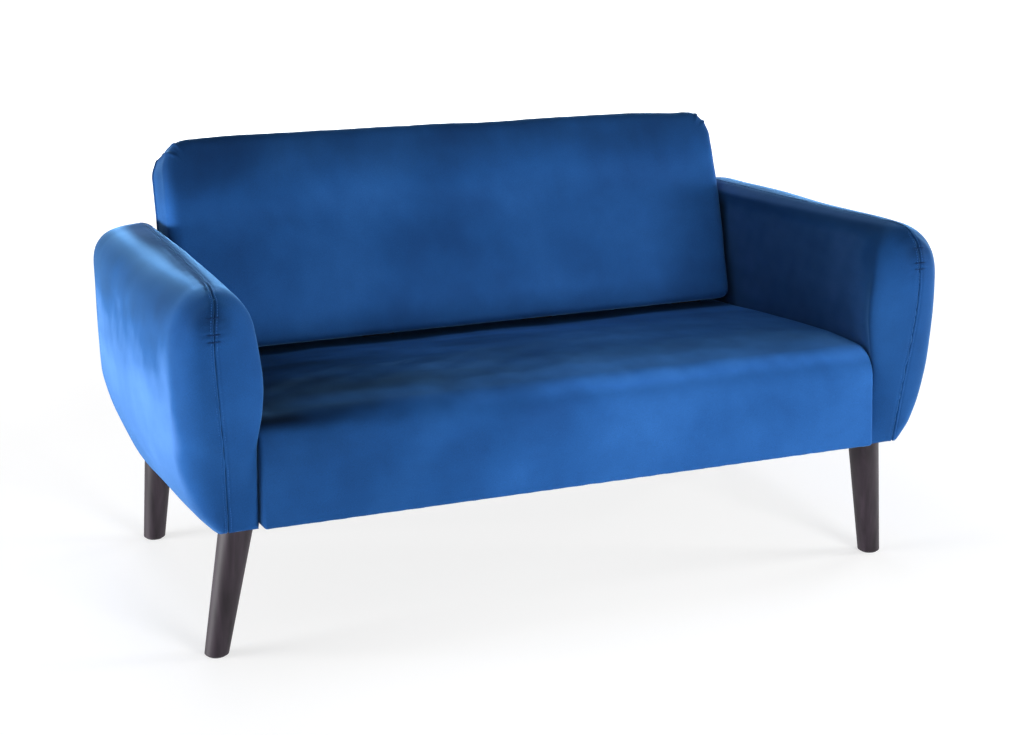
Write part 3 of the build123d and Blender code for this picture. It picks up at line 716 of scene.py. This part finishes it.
def arm_cover(side, outer, seed):
    """One cover of one arm. side is 1 for the right arm and -1 for the left."""
    rough, rough_off = arm_points(arm_grid(coarse_s, coarse_t), outer)
    flat = rough.reshape(-1, 3)
    faces = grid_faces(len(coarse_s), len(coarse_t), not outer)
    pins = unit(1 - (rough_off.reshape(-1) - 4) / 26)
    pins = np.maximum(pins, unit(1 - flat[:, 2] / 40))
    if not outer:
        beside_seat = (flat[:, 2] < 205) & (flat[:, 1] > -5)
        pins = np.where(beside_seat | (flat[:, 1] > 480), 1.0, pins)
    moves = inflate(f"arm_cloth_{seed}", flat, faces, pins, 4.0 if outer else 3.0)
    p, off = arm_points(arm_grid(fine_s, fine_t), outer)
    shape = p.shape
    n = grid_normals(p) * (1 if outer else -1)
    moves = blurred(moves.reshape(len(coarse_s), len(coarse_t), 3), 4)
    moves = resample(moves, coarse_s, fine_s).swapaxes(0, 1)
    p = p + resample(moves, coarse_t, fine_t).swapaxes(0, 1)
    wander = soft_noise(p, 260.0, seed, 1)
    fade = unit((off - 6) / 40)
    calm = 1.0 if outer else 0.35
    push = calm * fade * 0.9 * wander
    # over the top the seam stands up a little
    proud = ease(p[..., 1], 10, 60) * ease(p[..., 2], 340, 375)
    push += (2.4 * proud - 2.0) * bell(off, 1.3)
    push += 0.75 * (1 - 0.4 * proud) * bell(off - 2.6, 1.3)
    push += -0.75 * (1 - 0.6 * proud) * bell(off - ROW_OFFSET, 0.9)
    push += 0.25 * bell(off - 9, 3.5)
    w, v = p[..., 2], p[..., 1]
    on_nose = v < 60
    for k, height in enumerate(TACKS):
        reach = 15.0 if k != 2 else 11.0
        push += np.where(on_nose, -2.4 * bell(w - height, 2.2) * bell(off, reach), 0)
        push += np.where(on_nose, 0.8 * bell(w - height - 6, 3.0) * bell(off - 9, 7), 0)
    push += np.where(on_nose, -1.8 * bell(w - 336, 13) * bell(off - 15, 9), 0)
    gather = np.sin(w * 2 * math.pi / 11.0 + seed) * bell(w - 330, 34) * bell(off - 10, 9)
    push += np.where(on_nose, 0.55 * gather, 0)
    puckers = soft_noise(np.stack([v, w, v * 0], -1), 17.0, seed + 9, 2)
    push += 0.32 * puckers * bell(off - 8, 7)
    p = p + n * push[..., None]
    # a seam allowance turned in behind every edge
    rows, columns = shape[:2]
    index = np.arange(rows * columns).reshape(rows, columns)
    loop = np.concatenate([index[:-1, 0], index[-1, :-1], index[:0:-1, -1], index[0, :0:-1]])
    flat_p = p.reshape(-1, 3)
    centre = np.stack([flat_p[loop, 0], np.clip(flat_p[loop, 1], *SPINE_V), np.full(len(loop), SPINE_W)], -1)
    turned = flat_p[loop] + normalised(centre - flat_p[loop]) * HEM_DEPTH
    turned[:, 0] += HEM_GAP if outer else -HEM_GAP
    points = np.concatenate([flat_p, turned])
    k = np.arange(len(loop))
    after = (k + 1) % len(loop)
    hem = np.stack([loop, len(flat_p) + k, len(flat_p) + after, loop[after]], -1)
    faces = np.concatenate([grid_faces(rows, columns, not outer), hem if outer else hem[:, ::-1]])
    points[:, 0] *= side
    faces = faces[:, ::side]
    hand = HANDS[side]
    kind = "outer" if outer else "inner"
    obj = make_mesh(f"arm_{kind}_{hand}", place(points), faces, FINISHES["velvet_arm"])
    # painted light and shade over the cover, its painted highlights greyed
    set_nap_and_painted_light(obj, arm_nap_and_painted_light(points, vertex_normals(points, faces), outer, seed), 1.5)
    replaced = [f"arm_{kind}_cover_{hand}"] + ([f"arm_foam_{hand}"] if outer else [])
    settle(obj, replaced)
    return obj


def seam_row(offset, outer):
    """A line on an arm that keeps the given distance from its seam, up the nose and over the top."""
    edge = arm_edge[6:ARM_CORNERS[3] * DENSE:6]
    seam = on_arm(edge, True)
    spine = np.stack([np.clip(edge[:, 0], *SPINE_V), np.full(len(edge), SPINE_W)], -1)
    inward = normalised(spine - edge)
    depths = np.linspace(0, 1, 60) ** 2 * offset
    tries = edge[:, None] + inward[:, None] * depths[None, :, None]
    away = np.linalg.norm(on_arm(tries, outer) - seam[:, None], axis=-1)
    chosen = np.array([np.interp(offset, a, depths) for a in away])
    vw = edge + inward * chosen[:, None]
    step = 0.8

    def point(dv, dw):
        return on_arm(vw + np.array([dv, dw]), outer)

    n = normalised(np.cross(point(step, 0) - point(-step, 0), point(0, step) - point(0, -step)))
    if not outer:
        n = -n
    return point(0, 0) - n * 0.45, n


for side, (outer_seed, inner_seed) in ARM_SEEDS.items():
    hand = HANDS[side]
    arm_cover(side, True, outer_seed)
    arm_cover(side, False, inner_seed)
    rows = []
    for outer in (True, False):
        path, outward = seam_row(ROW_OFFSET, outer)
        flip = np.array([side, 1, 1])
        rows.append((path * flip, outward * flip))
    sew(f"arm_topstitch_{hand}", rows, 4.4, 3.3, 0.85)
    # hand stitches that close the nose seam near its top
    bars = []
    for height in TACKS:
        at = np.interp(height, front_line[:, 1], front_line[:, 0])
        seam = float(arm_row[0](height))
        xs = np.linspace(seam - TACK_HALF, seam + TACK_HALF, 7)
        dip = 0.5 * bell(xs - seam, 4)
        path = np.stack([xs * side, at + dip - TACK_PROUD, height + 0 * xs], -1)
        bars.append((path, np.tile([0.0, -1.0, 0.0], (len(xs), 1))))
    sew(f"arm_tacks_{hand}", bars, 2 * TACK_HALF, 22.0, 1.9, "tack_thread")

# ---------------------------------------------------------------- seat
SEAT_HALF, SEAT_DEPTH, SEAT_H = 548.0, 690.0, 176.0
SEAT_TOP = ((0, 173), (48, 173.5), (85, 176.5), (150, 179), (260, 177), (409, 171.5), (489, 167),
            (690, 160.5))
NOSE_ROUND, SEAT_REAR_ROUND, SEAT_SIDE_ROUND = 50.0, 12.0, 7.0
SEAT_CORNERS = (5.0, 5.0, SEAT_REAR_ROUND, NOSE_ROUND)      # front bottom, rear bottom, rear top, front top


TOP_BLUR = 41                               # samples of the line that the softening runs over
top_v = np.linspace(0, SEAT_DEPTH, 600)
kernel = np.hanning(TOP_BLUR) / np.hanning(TOP_BLUR).sum()
seat_top = np.convolve(np.pad(read(SEAT_TOP, top_v), TOP_BLUR, "edge"), kernel, "same")[TOP_BLUR:-TOP_BLUR]


def seat_shape(a, b, c):
    """The seat cushion's surface at lattice positions along v, w and x."""
    v, w, h, _ = round_slab(a, b, c, (SEAT_DEPTH, SEAT_H, 2 * SEAT_HALF), SEAT_CORNERS,
                               (SEAT_SIDE_ROUND, SEAT_SIDE_ROUND))
    x = h - SEAT_HALF
    share = unit(w / SEAT_H)
    across = 1 - (x / SEAT_HALF) ** 2
    w = w + share * (np.interp(v, top_v, seat_top) - SEAT_H)
    w = w + 4.5 * share ** 2 * across * unit(v / 90) * unit((560 - v) / 200)
    return np.stack([x, v, w], -1)


def lattice(spacing_a, spacing_b, spacing_c):
    cells, faces = box_lattice(len(spacing_a), len(spacing_b), len(spacing_c))
    return spacing_a[cells[:, 0]], spacing_b[cells[:, 1]], spacing_c[cells[:, 2]], cells, faces


def seat_nap_and_painted_light(p, n):
    x, v = p.T[:2]
    drift = soft_noise(p * np.array([0.5, 1.0, 1.0]), 120.0, 81)
    fine = soft_noise(p, 40.0, 82, 2)
    # painted shadow of the left arm: darker towards the left; the top painted lighter, most towards the right
    # and the rear; the front face painted lighter towards the right
    across = ease(x + 60 * drift, -560, 80)
    top = ease(n[:, 2], 0.45, 0.9)
    front = 0.76 + 0.50 * across + 0.04 * drift + 0.02 * fine
    above = 0.12 + 2.15 * across + 0.30 * ease(v, 250, 480)
    above += (0.08 + 0.20 * across) * drift + 0.10 * fine * across
    return front + (above - front) * top


a, b, c, cells, faces = lattice(steps(SEAT_DEPTH, NOSE_ROUND, SEAT_REAR_ROUND, 12, 16),
                                steps(SEAT_H, 8, NOSE_ROUND, 8, 16),
                                steps(2 * SEAT_HALF, SEAT_SIDE_ROUND, SEAT_SIDE_ROUND, 4, 18))
coarse = seat_shape(a, b, c)
pins = np.zeros(len(coarse))
pins[(coarse[:, 2] < 6) | (coarse[:, 1] > 500)] = 1.0
pins[np.abs(coarse[:, 0]) > SEAT_HALF - 4] = 1.0
moves = inflate("seat_cloth", coarse, faces, pins, 7.0)
a, b, c, cells, faces = lattice(steps(SEAT_DEPTH, NOSE_ROUND, SEAT_REAR_ROUND, 4, 6.5),
                                steps(SEAT_H, 6, NOSE_ROUND, 2.5, 6),
                                steps(2 * SEAT_HALF, SEAT_SIDE_ROUND, SEAT_SIDE_ROUND, 1.8, 6.5))
seat = seat_shape(a, b, c)
seat = seat + carry(moves, coarse, seat, 20.0)
n = vertex_normals(seat, faces)
open_area = unit((SEAT_HALF - 3 - np.abs(seat[:, 0])) / 30) * unit((seat[:, 2] - 3) / 20)
push = open_area * (1.4 * soft_noise(seat, 260.0, 5) + 0.4 * soft_noise(seat, 75.0, 6, 2))
# the cover is pulled down over the front edge and stapled below: short faint tension folds
pull = unit(1 - seat[:, 2] / 34) * (seat[:, 1] < 40)
push += 0.35 * pull * soft_noise(seat * np.array([1.0, 0.2, 0.2]), 26.0, 7, 2)
seat = seat + n * push[:, None]
seat_cushion = make_mesh("seat_cushion", place(seat), faces, FINISHES["velvet_seat"])
# painted light and shade over the seat
set_nap_and_painted_light(seat_cushion, seat_nap_and_painted_light(seat, vertex_normals(seat, faces)), 0.12)
settle(seat_cushion, ["seat_cover", "seat_foam"])

# ---------------------------------------------------------------- backrest
BACK_HALF, BACK_LENGTH, BACK_THICK = 543.0, 380.0, 124.0
BACK_FOOT = np.array([496.0, 179.0])
LEAN = math.radians(16.0)
UP = np.array([math.sin(LEAN), math.cos(LEAN)])
THROUGH = np.array([math.cos(LEAN), -math.sin(LEAN)])
BACK_REAR_V = 690.0
BACK_ROUND, FOOT_ROUND = 58.0, 22.0         # radius of the top and of the bottom corners
BACK_CORNERS = (FOOT_ROUND, FOOT_ROUND, BACK_ROUND, BACK_ROUND)
BACK_EDGES = (21.0, 26.0)
SEAM_DEPTH = 98.0                          # the outside back is sewn on here
# The top edge rises towards the left: place across, height above the straight edge.
BACK_CROWN = ((-1, 8), (-0.9, 13), (-0.8, 16.5), (-0.65, 17.5), (-0.5, 15.5), (-0.25, 13), (0, 12.5),
              (0.3, 10.5), (0.6, 8), (0.8, 3.5), (0.9, 0), (1, -3))
back_crown = hermite(*np.array(BACK_CROWN, float).T)
# The top corners are squared off by two tucks: angle round the corner, reach against a plain round.
TUCK = ((0, 1.0), (15, 1.02), (28, 1.035), (36, 1.062), (40, 1.082), (45, 1.060), (51, 1.060), (56, 1.082),
        (59, 1.095), (65, 1.06), (77, 1.02), (90, 1.0))
TUCK_ANGLES = (40.0, 59.0)


rear_top_point = BACK_FOOT + UP * BACK_LENGTH + THROUGH * BACK_THICK
knee = rear_top_point - UP * ((rear_top_point[0] - BACK_REAR_V) / UP[0])
REAR_LOWER = knee[1] - BACK_FOOT[1]
REAR_UPPER = float(np.hypot(*(rear_top_point - knee)))
share_line = np.linspace(0, 1.1, 800)
rear_run = share_line * (REAR_LOWER + REAR_UPPER)
over = np.maximum(rear_run - REAR_LOWER, 0)
rear_line = np.stack([BACK_REAR_V + over * UP[0],
                      BACK_FOOT[1] + np.minimum(rear_run, REAR_LOWER) + over * UP[1]], -1)
soften = np.hanning(121) / np.hanning(121).sum()
for k in (0, 1):
    run = rear_line[:, k]
    line = np.concatenate([run[0] + (run[0] - run[60:0:-1]), run, run[-1] + (run[-1] - run[-2:-62:-1])])
    rear_line[:, k] = np.convolve(line, soften, "valid")


def back_shape(a, b, c):
    """The backrest's surface at lattice positions across, up the front face and through."""
    x, up, h, edge = round_slab(a, b, c, (2 * BACK_HALF, BACK_LENGTH, BACK_THICK), BACK_CORNERS, BACK_EDGES,
                                lambda angle: read(TUCK, angle))
    x = x - BACK_HALF + 2.5
    share = np.clip(up / BACK_LENGTH, 0, 1.1)
    across = np.clip(x / BACK_HALF, -1, 1)
    crown = back_crown(across)
    up = up + crown * unit(share) ** 3
    middle = unit(share * (1 - share) * 4)
    x = x + np.sign(x) * 3.0 * unit((np.abs(x) - BACK_HALF + 60) / 60) ** 2 * middle
    x = x - 6.0 * unit(x / BACK_HALF) ** 2 * (1 - unit(share))
    front = BACK_FOOT + up[:, None] * UP
    rear = along(share, share_line, rear_line)
    vw = front + (rear - front) * (h / BACK_THICK)[:, None]
    return np.stack([x, vw[:, 0], vw[:, 1]], -1), edge


a, b, c, cells, faces = lattice(steps(2 * BACK_HALF, BACK_ROUND, BACK_ROUND, 14, 18),
                                steps(BACK_LENGTH, FOOT_ROUND, BACK_ROUND, 11, 16),
                                steps(BACK_THICK, *BACK_EDGES, 9, 16))
coarse, edge = back_shape(a, b, c)
pins = np.zeros(len(coarse))
pins[b < 14] = 1.0
pins[c > SEAM_DEPTH - 8] = 1.0
pins[(np.abs(coarse[:, 0]) > BACK_HALF - 16) & (coarse[:, 2] < 390)] = 1.0
moves = inflate("back_cloth", coarse, faces, pins, 9.0)
rear_pins = np.where(c > SEAM_DEPTH + 4, unit(1 - (edge - 8) / 30), 1.0)
rear_pins[b < 14] = 1.0
rear_moves = inflate("outside_back_cloth", coarse, faces, rear_pins, 3.0, pressure=2.0)
moves = moves + rear_moves
a, b, c, cells, faces = lattice(
    steps(2 * BACK_HALF, BACK_ROUND, BACK_ROUND, 3, 6.5), steps(BACK_LENGTH, FOOT_ROUND, BACK_ROUND, 3, 6),
    steps(BACK_THICK, *BACK_EDGES, 3, 6, [SEAM_DEPTH + d for d in (-5, -3, -1.5, 0, 1.5, 3)]))
back, edge = back_shape(a, b, c)
back = back + carry(moves, coarse, back, 20.0)
n = vertex_normals(back, faces)
off_seam = np.abs(c - SEAM_DEPTH) + np.where(c > BACK_THICK - 0.01, edge, 0)
calm = unit((off_seam - 4) / 40) * unit((back[:, 2] - 185) / 30)
push = calm * (1.6 * soft_noise(back, 300.0, 15) + 0.4 * soft_noise(back, 80.0, 16, 2))
push += -2.2 * bell(off_seam, 1.5) + 0.7 * bell(off_seam - 3.5, 2.0)
# the tucks run from each corner's front edge back towards the seam
above = b - (BACK_LENGTH - BACK_ROUND)
beyond = np.abs(a - BACK_HALF) - (BACK_HALF - BACK_ROUND)
angle = np.degrees(np.arctan2(np.maximum(above, 0), np.maximum(beyond, 1e-6)))
on_corner = (above > 0) & (np.abs(a - BACK_HALF) > BACK_HALF - BACK_ROUND)
for at in TUCK_ANGLES:
    turn = angle - at + 3.0
    fall = bell(np.maximum(edge - 6, 0), 12) * unit((SEAM_DEPTH + 6 - c) / 30)
    fold = -2.2 * bell(turn, 2.2) + 0.9 * bell(turn - 5, 3.0)
    push += np.where(on_corner, fold * fall, 0)
back = back + n * push[:, None]
seam_index = int(np.argmin(np.abs(np.unique(c) - SEAM_DEPTH)))
behind = (cells[faces][:, :, 2] >= seam_index).all(1)


def part_of(points, faces):
    """Keeps only the points that the faces use."""
    used = np.unique(faces)
    new = np.zeros(len(points), int)
    new[used] = np.arange(len(used))
    return points[used], new[faces]


def back_nap_and_painted_light(p, n):
    x, w = p[:, 0], p[:, 2]
    drift = soft_noise(p * np.array([0.6, 1.0, 1.0]), 170.0, 91)
    fine = soft_noise(p, 45.0, 92, 2)
    # painted shade: the top band darker; painted light lower down and towards the right; the ends painted
    # darker where they stand in the gaps beside the arms
    top_painted_shade = ease(w + 16 * drift, 415, 535)
    side = ease(np.abs(n[:, 0]), 0.5, 0.95)
    low = 1 - ease(w, 190, 330)
    value = 1.08 + 0.05 * drift + 0.02 * fine + 0.14 * ease(x, -400, 480) + 0.16 * low
    value -= (0.58 + 0.08 * ease(x, 0, 400)) * top_painted_shade
    return value * (1 - 0.75 * side * (1 - ease(w, 350, 400))) + side * 0.08


front_points, front_faces = part_of(back, faces[~behind])
back_cushion = make_mesh("back_cushion", place(front_points), front_faces, FINISHES["velvet"])
# painted light and shade over the backrest
set_nap_and_painted_light(back_cushion, back_nap_and_painted_light(front_points, vertex_normals(front_points, front_faces)), 0.2)
settle(back_cushion, ["back_front_cover", "back_foam"])
rear_points, rear_faces = part_of(back, faces[behind])
# below the backrest the outside back runs on down over the rear of the seat
HANG_FROM, HANG_TO = 240.0, 4.0
hang = np.clip((HANG_FROM - rear_points[:, 2]) / (HANG_FROM - BACK_FOOT[1]), 0, 1.05)
rear_points[:, 2] = np.where(hang > 0, HANG_FROM - hang * (HANG_FROM - HANG_TO), rear_points[:, 2])
rear_points[:, 1] += 3.5 * unit(hang * 3)
outside_back = make_mesh("outside_back", place(rear_points), rear_faces, FINISHES["velvet"])
set_nap_and_painted_light(outside_back, 1.05 + 0.08 * soft_noise(rear_points, 320.0, 92), 0.3)
settle(outside_back, ["back_rear_cover"])

# ---------------------------------------------------------------- black cloths underneath
STAPLE_PITCH, STAPLE_INSET, STAPLE_RUN = 38.0, 7.0, 60


def under_cloth(name, left, right, front, rear, level, columns, rows, cuts, replaced, sag):
    """A black cloth stretched and stapled underneath.

    left and right give x at each v; cuts are (x, v, half side) of the square holes in it."""
    vs = np.linspace(front, rear, rows)
    share = np.linspace(0, 1, columns)
    lows, highs = left(vs)[:, None], right(vs)[:, None]
    x = lows + (highs - lows) * share
    v = np.repeat(vs[:, None], columns, 1)
    flat = np.stack([x, v, np.full_like(x, level)], -1)
    faces = grid_faces(rows, columns)
    edge = np.minimum(np.minimum(x - lows, highs - x), np.minimum(v - front, rear - v))
    pins = (edge < 12).astype(float).reshape(-1)
    points = flat.reshape(-1, 3)
    moves = inflate(f"{name}_cloth", points, faces, pins, sag, pressure=0.6, shrink=0.0)
    moves = moves.reshape(rows, columns, 3)
    inward = unit(edge / 40)
    out = flat.copy()
    out[..., 2] -= np.abs(blurred(moves, 3)[..., 2])
    out[..., 2] -= inward * np.abs(0.8 * soft_noise(flat * np.array([1, 1, 0]), 90.0, 61, 2))
    # little pulls run in from every staple
    out[..., 2] += 0.35 * bell(edge, 22) * np.sin((x + v) * 2 * math.pi / STAPLE_PITCH)
    middle = points[faces].mean(1)
    keep = np.ones(len(faces), bool)
    for cx, cv, half in cuts:
        keep &= ~((np.abs(middle[:, 0] - cx) < half) & (np.abs(middle[:, 1] - cv) < half))
    cut, cut_faces = part_of(out.reshape(-1, 3), faces[keep])
    cloth = make_mesh(name, place(cut), cut_faces, FINISHES["black_cloth"])
    settle(cloth, replaced)
    line_v = np.linspace(front + STAPLE_INSET, rear - STAPLE_INSET, STAPLE_RUN)
    lines = [(left(line_v) + STAPLE_INSET, line_v), (right(line_v) - STAPLE_INSET, line_v)]
    for at in (front + STAPLE_INSET, rear - STAPLE_INSET):
        ends = left(np.array([at]))[0] + STAPLE_INSET, right(np.array([at]))[0] - STAPLE_INSET
        lines.append((np.linspace(*ends, STAPLE_RUN), np.full(STAPLE_RUN, at)))
    down = np.tile([0.0, 0.0, -1.0], (STAPLE_RUN, 1))
    runs = [(np.stack([x, v, np.full(STAPLE_RUN, level - 0.5)], -1), down) for x, v in lines]
    staples = sew(f"{name}_staples", runs, STAPLE_PITCH, 10.0, 1.1, "zinc_steel")


under_cloth("under_seat_cloth", lambda v: -538 + 0 * v, lambda v: 538 + 0 * v, 14.0, 676.0, -0.9, 90, 56,
            (), ["dust_cover"], 4.0)
# x, v and half side of the holes round the plates that the legs screw into
LEG_PLATES = ((572.7, 74.2, 17.0), (571.5, 636.2, 17.0))


def arm_rim(side, edge):
    """x of the arm's lower rim at each v, a little inside it."""
    outer = (edge > 0) == (side > 0)
    return lambda v: side * (arm_surface(v, np.full_like(v, -3.0), outer) + (-3.0 if outer else 3.0))


for side in (1, -1):
    hand = HANDS[side]
    under_cloth(f"under_arm_cloth_{hand}", arm_rim(side, -1), arm_rim(side, 1), 34.0, 700.0, 0.5, 16, 120,
                [(side * x, v, half) for x, v, half in LEG_PLATES], [f"arm_bottom_cloth_{hand}"],
                1.5)

# ---------------------------------------------------------------- floor, light, camera
# The floor glows by its own emission, dimmer near the sofa as painted shade round it, and brightens away from
# the sofa until it meets the white all round.
FLOOR_HALF, SHADED_TO, WHITE_FROM = 60.0, 1.2, 4.5
floor_material, tree, shader, where = new_material("studio_floor")
floor_tone = ramp(tree, noise(tree, where, 0.6, 2), [(0.3, grey(0.50)), (0.7, grey(0.52))])
tree.links.new(floor_tone, shader.inputs["Base Color"])
away = add(tree, "VectorMath")
away.operation = "LENGTH"
tree.links.new(where, away.inputs[0])
reach = add(tree, "MapRange", {"From Min": SHADED_TO, "From Max": WHITE_FROM})
tree.links.new(away.outputs["Value"], reach.inputs["Value"])
glow = ramp(tree, reach.outputs["Result"], [(0.0, grey(0.57)), (1.0, grey(1.0))])
tree.links.new(glow, shader.inputs["Emission Color"])
fill_in(shader, {"Roughness": 0.9, "Specular IOR Level": 0.0, "Emission Strength": 1.0})
floor_corners = [(FLOOR_HALF * x, FLOOR_HALF * y, 0) for x, y in ((-1, -1), (1, -1), (1, 1), (-1, 1))]
floor = make_mesh("studio_floor", floor_corners, [(0, 1, 2, 3)], floor_material, smooth=False)


def soft_light(name, at, target, width, height, power):
    """A rectangular lamp at one place, turned towards another."""
    data = bpy.data.lights.new(name, "AREA")
    data.shape = "RECTANGLE"
    data.size, data.size_y, data.energy = width, height, power
    lamp = bpy.data.objects.new(name, data)
    lamp.location = at
    lamp.rotation_euler = (Vector(target) - Vector(at)).to_track_quat("-Z", "Y").to_euler()
    scene.collection.objects.link(lamp)


soft_light("key_left", (-4.2, 0.25, 0.24), (-0.6, 0.05, 0.36), 2.0, 0.42, 440)
soft_light("front", (1.0, -4.6, 0.60), (0.1, 0.0, 0.42), 1.6, 0.9, 290)
soft_light("right_front", (4.4, -1.3, 0.5), (0.6, -0.3, 0.4), 1.4, 0.8, 225)
soft_light("top", (-0.7, 0.2, 3.2), (-0.3, 0.0, 0.5), 1.8, 1.2, 16)
soft_light("rear_fill", (0.6, 5.0, 0.9), (0.0, 0.2, 0.45), 3.2, 1.2, 90)
soft_light("right_fill", (4.6, 1.6, 0.8), (0.4, 0.1, 0.4), 2.0, 1.1, 90)

world = bpy.data.worlds.new("studio")
scene.world = world
world.use_nodes = True
tree = world.node_tree
direction = add(tree, "TexCoord")
height = add(tree, "SeparateXYZ")
tree.links.new(direction.outputs["Generated"], height.inputs["Vector"])
SKY = [(0.0, grey(0.95)), (0.12, grey(0.85)), (0.30, grey(0.25)), (0.60, grey(0.20))]
sky = ramp(tree, height.outputs["Z"], SKY)
tree.links.new(sky, tree.nodes["Background"].inputs["Color"])
tree.nodes["Background"].inputs["Strength"].default_value = 1.0

CAMERA_AT = (-1.3091, -3.2552, 1.3652)
CAMERA_DOWN, CAMERA_TURN, CAMERA_LENS = 16.28, -22.25, 71.19        # degrees, degrees, mm
camera_data = bpy.data.cameras.new("camera")
camera_data.sensor_width = 36.0
camera_data.lens = CAMERA_LENS
camera = bpy.data.objects.new("camera", camera_data)
camera.location = CAMERA_AT
camera.rotation_euler = (math.radians(90 - CAMERA_DOWN), 0, math.radians(CAMERA_TURN))
scene.collection.objects.link(camera)
scene.camera = camera
scene.view_settings.view_transform = "Standard"
